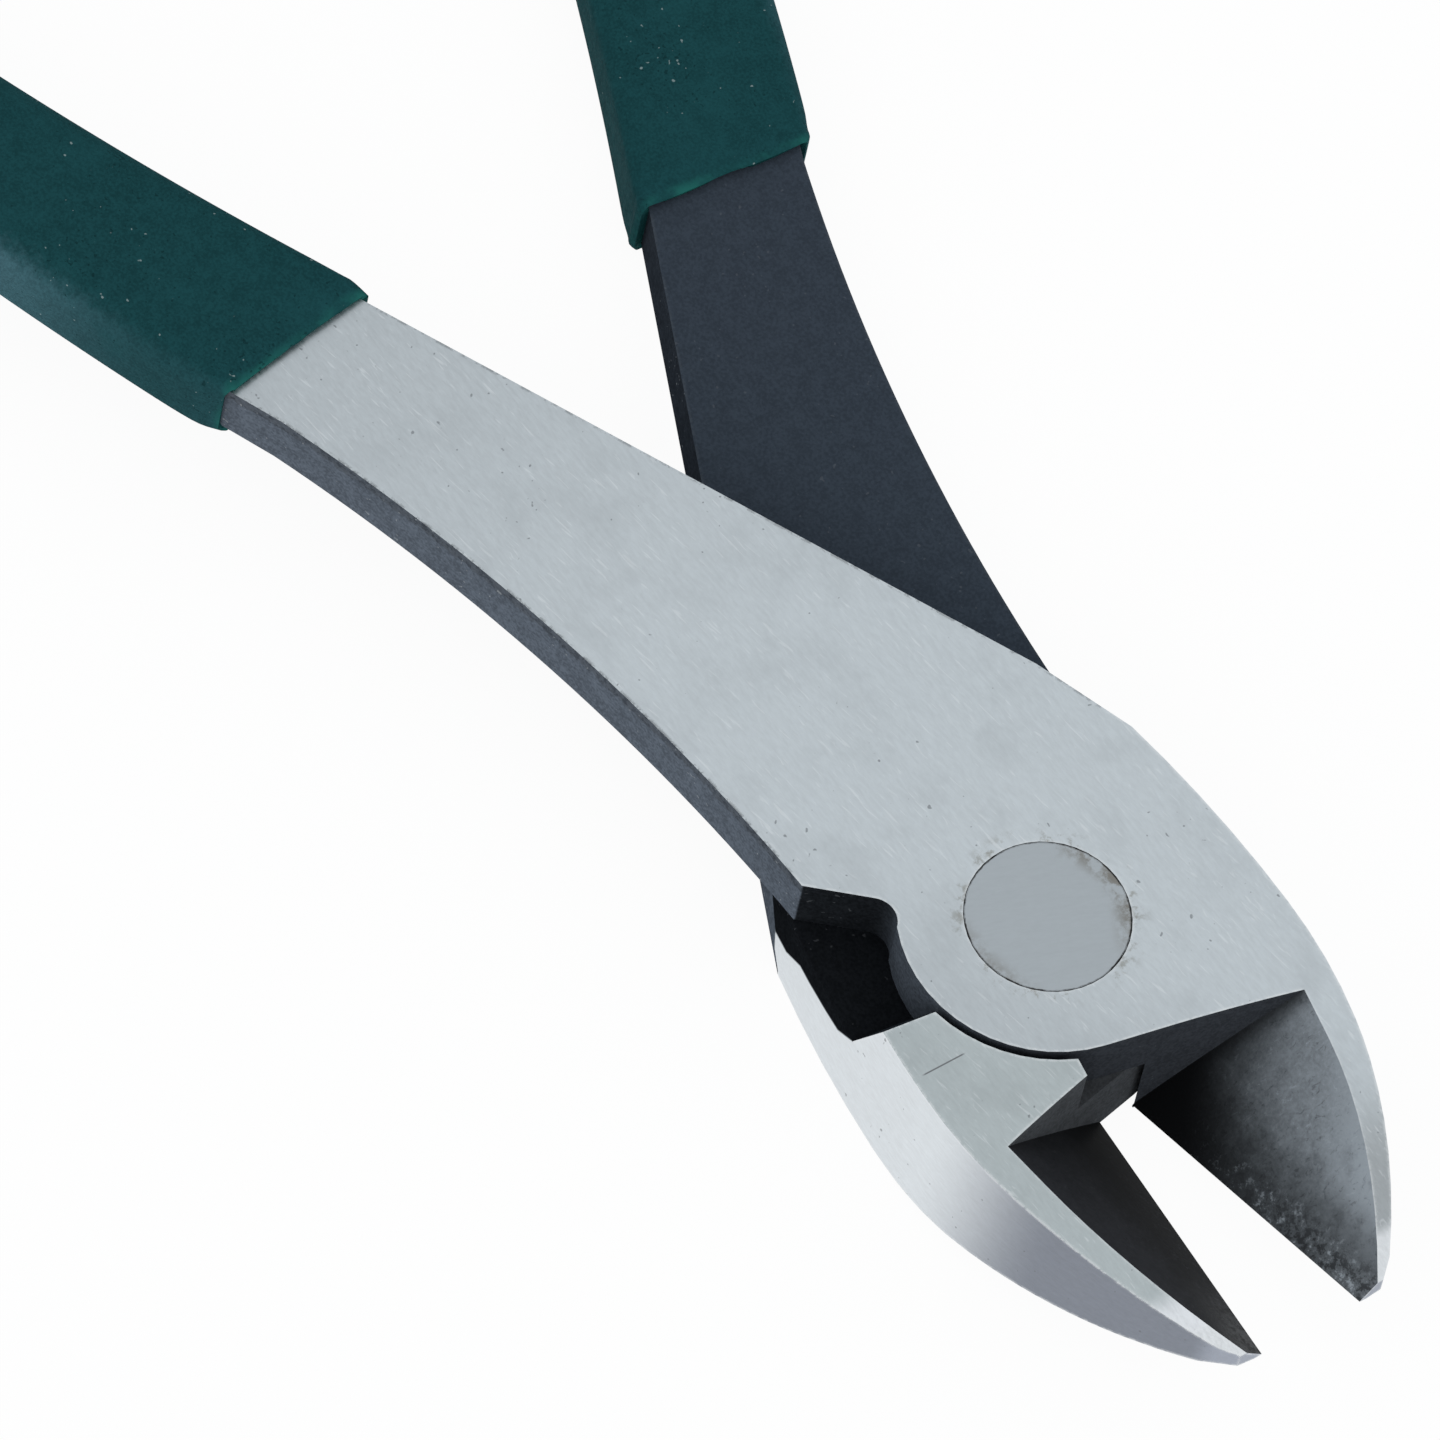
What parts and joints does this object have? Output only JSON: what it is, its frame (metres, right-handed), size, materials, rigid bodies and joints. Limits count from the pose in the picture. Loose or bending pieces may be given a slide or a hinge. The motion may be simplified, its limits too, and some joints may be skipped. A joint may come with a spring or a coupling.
{
  "type": "diagonal cutting pliers",
  "caption": "Hand pliers with short slanted cutting jaws on a flush-riveted lap joint, ground steel halves and long splayed handles with thin dipped vinyl grips, shown part open.",
  "frame": {"origin": "on the rivet axis, in the plane of the flat back face of the head", "axes": "+X runs from the rivet to the jaw tips, midway between the two cutting edges; +Z is the rivet axis, towards the front face; +Y towards the front half's jaw"},
  "size_m": [0.1991, 0.0941, 0.0108],
  "materials": {
    "forged_steel": "drop-forged tool steel, faces ground to a satin, lap faces and handle edges left dark",
    "rivet_steel": "rivet head ground flush with the face",
    "dipped_vinyl": "dark green dipped vinyl, satin, finely pitted"
  },
  "bodies": {
    "back": {"back_half": "forged_steel", "pivot_rivet": "rivet_steel", "back_grip": "dipped_vinyl"},
    "front": {"front_half": "forged_steel", "front_grip": "dipped_vinyl"}
  },
  "joints": [
    {"name": "pivot", "type": "hinge", "parent": "back", "child": "front", "pos_m": [0, 0, 0], "axis": [0, 0, 1], "range_deg": [-13.6, 33]}
  ]
}
